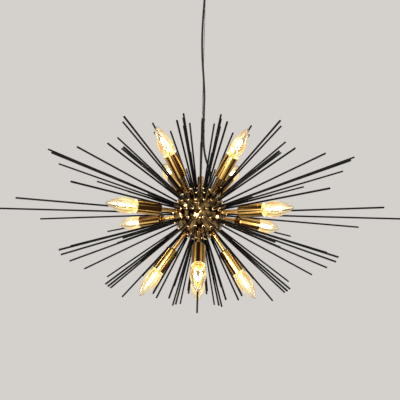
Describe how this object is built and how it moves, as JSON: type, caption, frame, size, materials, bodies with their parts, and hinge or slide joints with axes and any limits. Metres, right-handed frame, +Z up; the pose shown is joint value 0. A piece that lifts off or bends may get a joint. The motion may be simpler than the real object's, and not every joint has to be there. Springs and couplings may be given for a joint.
{
  "type": "sputnik pendant light",
  "caption": "Ball-hub pendant light with slim rods radiating all round, candle bulbs in brass cups among them, hung on a steel cable below a round ceiling canopy.",
  "frame": {"origin": "centre of the canopy's rim where it meets the ceiling", "axes": "+Z up into the ceiling; -Y towards the side the picture shows; the light hangs along -Z"},
  "size_m": [0.96, 0.96, 0.8432],
  "materials": {
    "polished_brass": "polished, antique tone",
    "antique_brass": "satin, antique tone",
    "cup_brass": "polished, antique tone",
    "arm_brass": "satin, antique tone",
    "collar_brass": "polished",
    "bulb_cap_brass": "plain spun",
    "black_rod": "satin black",
    "plated_steel": "zinc plated",
    "cable_steel": "twisted wire, dark",
    "black_plastic": "moulded",
    "white_plastic": "moulded",
    "holder_white": "moulded, glossy",
    "clip_plastic": "moulded",
    "cord_sheath": "smooth sheath",
    "clear_glass": "clear, blown"
  },
  "bodies": {
    "ceiling_fixing": {"ceiling_crossbar": "plated_steel", "crossbar_studs": "plated_steel", "canopy": "antique_brass", "canopy_cap_nuts": "antique_brass", "terminal_block": "white_plastic", "cable_gripper": "antique_brass", "gripper_nut": "plated_steel", "cord_bush": "black_plastic", "cord_tail": "cord_sheath"},
    "swivel": {"swivel_washer": "plated_steel"},
    "suspension": {"cable_ball": "plated_steel", "steel_cable": "cable_steel", "cable_stop": "plated_steel", "power_cord": "cord_sheath", "cord_clips": "clip_plastic"},
    "hub": {"hub_cap": "polished_brass", "hub_bowl": "polished_brass", "top_stem": "polished_brass", "stem_nut": "plated_steel", "tie_rod": "plated_steel", "finial_nut": "polished_brass", "cord_gland": "black_plastic", "lead_connector": "white_plastic", "rods_equator": "black_rod", "rods_upper_slope": "black_rod", "rods_lower_slope": "black_rod", "rods_upper_shoulder": "black_rod", "rods_lower_shoulder": "black_rod", "rods_crown": "black_rod", "rods_base": "black_rod", "collars_upper": "collar_brass", "collars_lower": "collar_brass", "lamp_arms": "arm_brass", "lamp_arm_nuts": "plated_steel", "lamp_cups": "cup_brass", "lampholders": "holder_white"},
    "bulb_1": {"bulb_cap_1": "bulb_cap_brass", "bulb_glass_1": "clear_glass"},
    "bulb_2": {"bulb_cap_2": "bulb_cap_brass", "bulb_glass_2": "clear_glass"},
    "bulb_3": {"bulb_cap_3": "bulb_cap_brass", "bulb_glass_3": "clear_glass"},
    "bulb_4": {"bulb_cap_4": "bulb_cap_brass", "bulb_glass_4": "clear_glass"},
    "bulb_5": {"bulb_cap_5": "bulb_cap_brass", "bulb_glass_5": "clear_glass"},
    "bulb_6": {"bulb_cap_6": "bulb_cap_brass", "bulb_glass_6": "clear_glass"},
    "bulb_7": {"bulb_cap_7": "bulb_cap_brass", "bulb_glass_7": "clear_glass"},
    "bulb_8": {"bulb_cap_8": "bulb_cap_brass", "bulb_glass_8": "clear_glass"},
    "bulb_9": {"bulb_cap_9": "bulb_cap_brass", "bulb_glass_9": "clear_glass"},
    "bulb_10": {"bulb_cap_10": "bulb_cap_brass", "bulb_glass_10": "clear_glass"},
    "bulb_11": {"bulb_cap_11": "bulb_cap_brass", "bulb_glass_11": "clear_glass"},
    "bulb_12": {"bulb_cap_12": "bulb_cap_brass", "bulb_glass_12": "clear_glass"}
  },
  "joints": [
    {"name": "swing_about_x", "type": "hinge", "parent": "ceiling_fixing", "child": "swivel", "pos_m": [0, 0, -0.036], "axis": [1, 0, 0], "range_deg": [-8, 8]},
    {"name": "swing_about_y", "type": "hinge", "parent": "swivel", "child": "suspension", "pos_m": [0, 0, -0.036], "axis": [0, 1, 0], "range_deg": [-8, 8]},
    {"name": "hub_twist", "type": "hinge", "parent": "suspension", "child": "hub", "pos_m": [0, 0, -0.556], "axis": [0, 0, 1], "range_deg": [-20, 20], "deforming": ["power_cord"]},
    {"name": "bulb_1_removal", "type": "slide", "parent": "hub", "child": "bulb_1", "axis": [-0.4264, 0.5868, 0.6884], "range_m": [0, 0.026]},
    {"name": "bulb_2_removal", "type": "slide", "parent": "hub", "child": "bulb_2", "axis": [-0.4264, -0.5868, 0.6884], "range_m": [0, 0.026]},
    {"name": "bulb_3_removal", "type": "slide", "parent": "hub", "child": "bulb_3", "axis": [0.4264, -0.5868, 0.6884], "range_m": [0, 0.026]},
    {"name": "bulb_4_removal", "type": "slide", "parent": "hub", "child": "bulb_4", "axis": [0.4264, 0.5868, 0.6884], "range_m": [0, 0.026]},
    {"name": "bulb_5_removal", "type": "slide", "parent": "hub", "child": "bulb_5", "axis": [-0.8655, 0.4997, -0.0349], "range_m": [0, 0.026]},
    {"name": "bulb_6_removal", "type": "slide", "parent": "hub", "child": "bulb_6", "axis": [-0.8655, -0.4997, -0.0349], "range_m": [0, 0.026]},
    {"name": "bulb_7_removal", "type": "slide", "parent": "hub", "child": "bulb_7", "axis": [0.8655, -0.4997, -0.0349], "range_m": [0, 0.026]},
    {"name": "bulb_8_removal", "type": "slide", "parent": "hub", "child": "bulb_8", "axis": [0.8655, 0.4997, -0.0349], "range_m": [0, 0.026]},
    {"name": "bulb_9_removal", "type": "slide", "parent": "hub", "child": "bulb_9", "axis": [-0.5592, 0, -0.829], "range_m": [0, 0.026]},
    {"name": "bulb_10_removal", "type": "slide", "parent": "hub", "child": "bulb_10", "axis": [0, -0.5592, -0.829], "range_m": [0, 0.026]},
    {"name": "bulb_11_removal", "type": "slide", "parent": "hub", "child": "bulb_11", "axis": [0.5592, 0, -0.829], "range_m": [0, 0.026]},
    {"name": "bulb_12_removal", "type": "slide", "parent": "hub", "child": "bulb_12", "axis": [0, 0.5592, -0.829], "range_m": [0, 0.026]}
  ]
}
